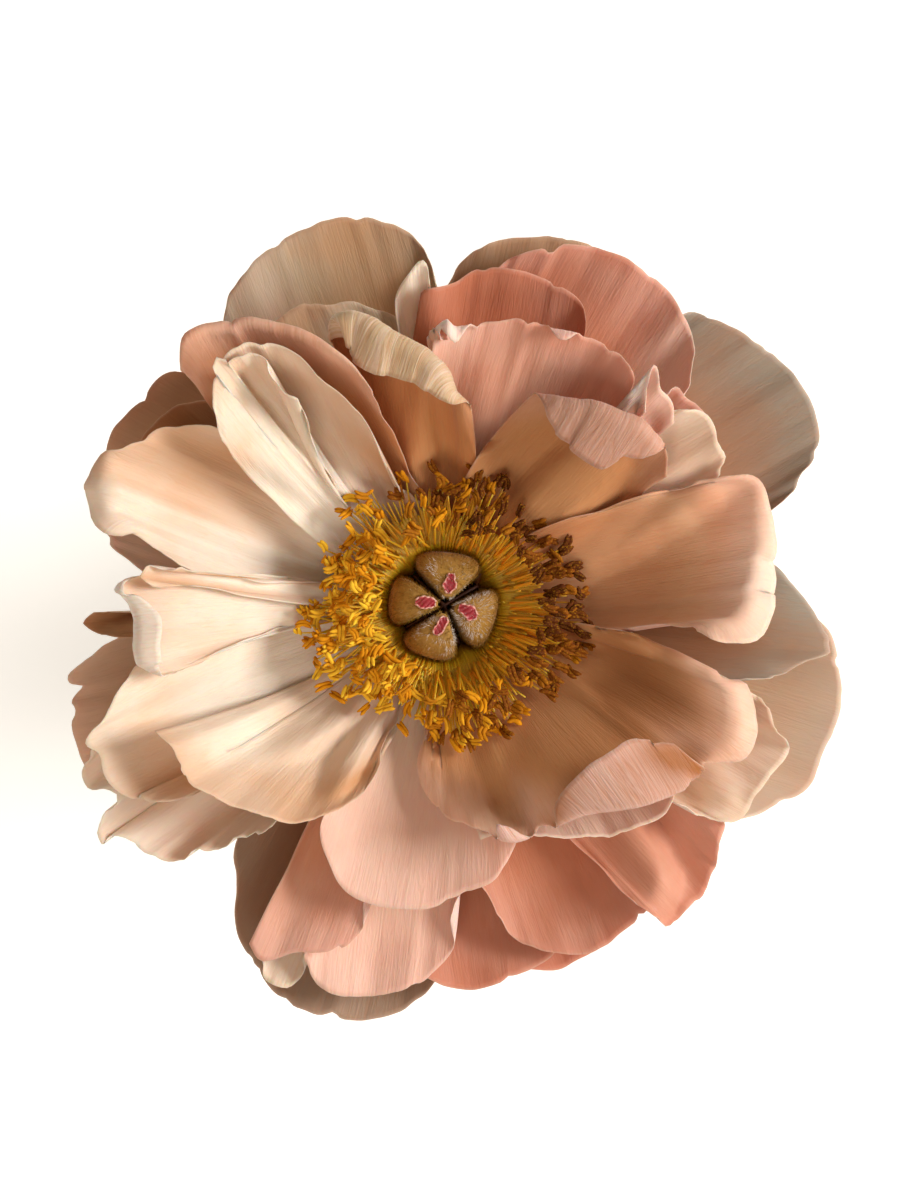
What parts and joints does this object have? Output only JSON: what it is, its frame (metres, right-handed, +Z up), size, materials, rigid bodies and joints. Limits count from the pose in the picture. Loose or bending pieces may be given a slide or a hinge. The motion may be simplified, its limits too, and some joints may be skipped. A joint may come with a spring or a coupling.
{
  "type": "peony in a bud vase",
  "caption": "Wide-open semi-double peony bloom on a leafy cut stem, standing in a narrow-necked ceramic bud vase with water.",
  "frame": {"origin": "middle of the vase's flat foot, on the surface that it stands on", "axes": "+Z up along the vase; +Y towards the upper edge of the reference view, +X towards its right edge"},
  "size_m": [0.1729, 0.1802, 0.2545],
  "materials": {
    "glazed_vase": "satin glaze, off-white",
    "water": "clear",
    "stem_green": "matt, faintly ribbed",
    "leaf_green": "satin, veined",
    "sepal_green": "satin, veined",
    "petal_peach": "soft, finely striated, cream to coral",
    "anther_gold": "matt, powdery, golden yellow to orange-brown",
    "carpel_olive": "felted, olive-beige with pink tips"
  },
  "bodies": {
    "root": {"vase": "glazed_vase", "water": "water", "stem": "stem_green", "leaf_west": "leaf_green", "leaf_east": "leaf_green", "sepals": "sepal_green", "petals": "petal_peach", "stamens": "anther_gold", "carpels": "carpel_olive"}
  },
  "joints": []
}
